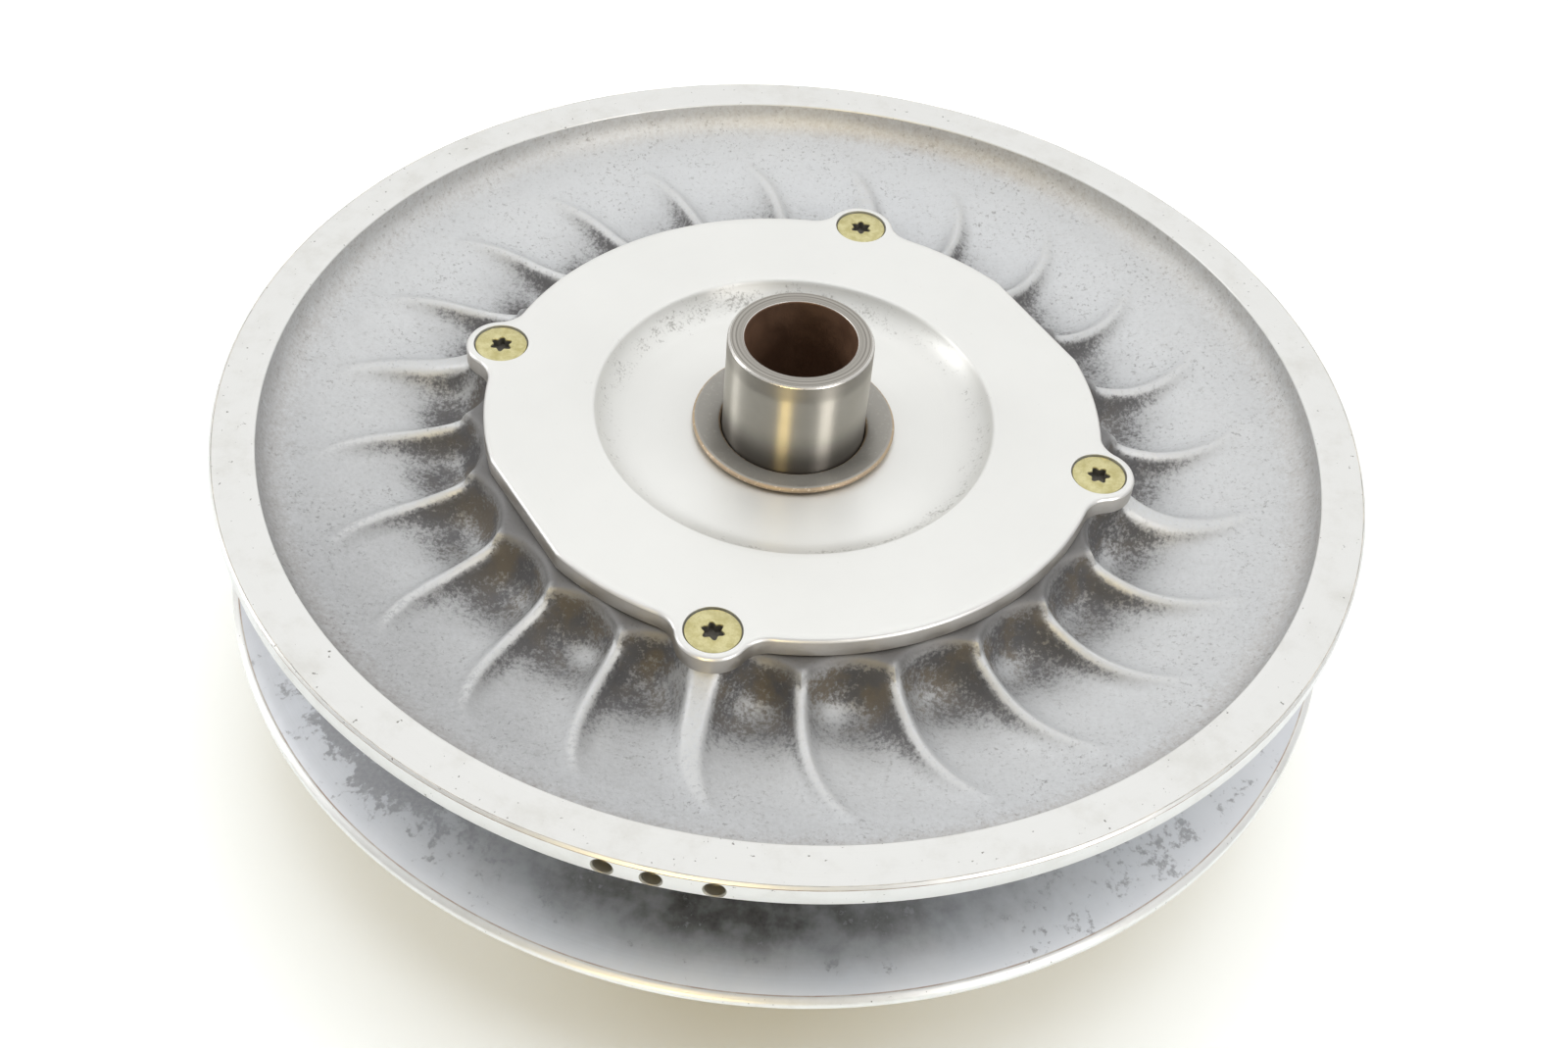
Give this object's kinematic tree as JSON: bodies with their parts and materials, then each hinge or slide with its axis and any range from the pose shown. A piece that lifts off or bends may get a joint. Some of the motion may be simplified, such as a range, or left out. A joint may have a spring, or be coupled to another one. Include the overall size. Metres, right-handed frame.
{
  "type": "cvt driven pulley",
  "caption": "Belt-drive driven pulley: a finned moving sheave that a spring and helical slots close against a fixed sheave on a hollow post.",
  "frame": {"origin": "on the shaft axis at the underside of the post's flange, which the pulley stands on", "axes": "+Z along the shaft axis, from the fixed sheave's back to the moving sheave's cover; the picture looks along +Y"},
  "size_m": [0.272, 0.272, 0.114],
  "materials": {
    "cast_aluminium": "as cast, satin",
    "machined_aluminium": "machined, satin",
    "post_steel": "ground steel, lightly stained",
    "spring_steel": "dark oiled steel",
    "yellow_zinc": "yellow zinc plate",
    "bronze": "worn bearing bronze",
    "nylon": "natural nylon",
    "roller_plastic": "dark filled plastic"
  },
  "bodies": {
    "fixed": {"center_post": "post_steel", "fixed_sheave": "cast_aluminium", "flange_screw_1": "spring_steel", "flange_screw_2": "spring_steel", "flange_screw_3": "spring_steel", "flange_screw_4": "spring_steel", "flange_screw_5": "spring_steel", "flange_screw_6": "spring_steel", "roller_spider": "machined_aluminium", "spider_key": "post_steel", "retaining_ring": "spring_steel", "roller_pin_1": "post_steel", "roller_pin_2": "post_steel", "roller_pin_3": "post_steel", "spring": "spring_steel", "upper_slip_washer": "nylon"},
    "spring_seat": {"lower_slip_washer": "nylon"},
    "moving": {"moving_sheave": "cast_aluminium", "spring_cup": "machined_aluminium", "helix_cover": "machined_aluminium", "cover_bushing": "bronze", "cup_bushing": "bronze", "cover_screw_1": "yellow_zinc", "cover_screw_2": "yellow_zinc", "cover_screw_3": "yellow_zinc", "cover_screw_4": "yellow_zinc"},
    "roller_body_1": {"roller_1": "roller_plastic", "roller_bush_1": "bronze"},
    "roller_body_2": {"roller_2": "roller_plastic", "roller_bush_2": "bronze"},
    "roller_body_3": {"roller_3": "roller_plastic", "roller_bush_3": "bronze"}
  },
  "joints": [
    {"name": "sheave_shift", "type": "slide", "parent": "fixed", "child": "spring_seat", "axis": [0, 0, 1], "range_m": [0, 0.024], "stiffness_N_per_m": 12000, "springref_m": -0.002, "deforming": ["spring"]},
    {"name": "sheave_turn", "type": "hinge", "parent": "spring_seat", "child": "moving", "pos_m": [0, 0, 0], "axis": [0, 0, 1], "range_deg": [-26.8, 0]},
    {"name": "roller_spin_1", "type": "hinge", "parent": "fixed", "child": "roller_body_1", "pos_m": [0, 0, 0.06938], "axis": [0.866, 0.5, 0], "range_deg": [0, 206]},
    {"name": "roller_spin_2", "type": "hinge", "parent": "fixed", "child": "roller_body_2", "pos_m": [0, 0, 0.06938], "axis": [-0.866, 0.5, 0], "range_deg": [0, 206]},
    {"name": "roller_spin_3", "type": "hinge", "parent": "fixed", "child": "roller_body_3", "pos_m": [0, 0, 0.06938], "axis": [0, -1, 0], "range_deg": [0, 206]}
  ],
  "couplings": [
    {"joint": "sheave_turn", "follows": "sheave_shift", "rad_per_m": -19.405},
    {"joint": "roller_spin_1", "follows": "sheave_shift", "rad_per_m": 149.51},
    {"joint": "roller_spin_2", "follows": "sheave_shift", "rad_per_m": 149.51},
    {"joint": "roller_spin_3", "follows": "sheave_shift", "rad_per_m": 149.51}
  ]
}
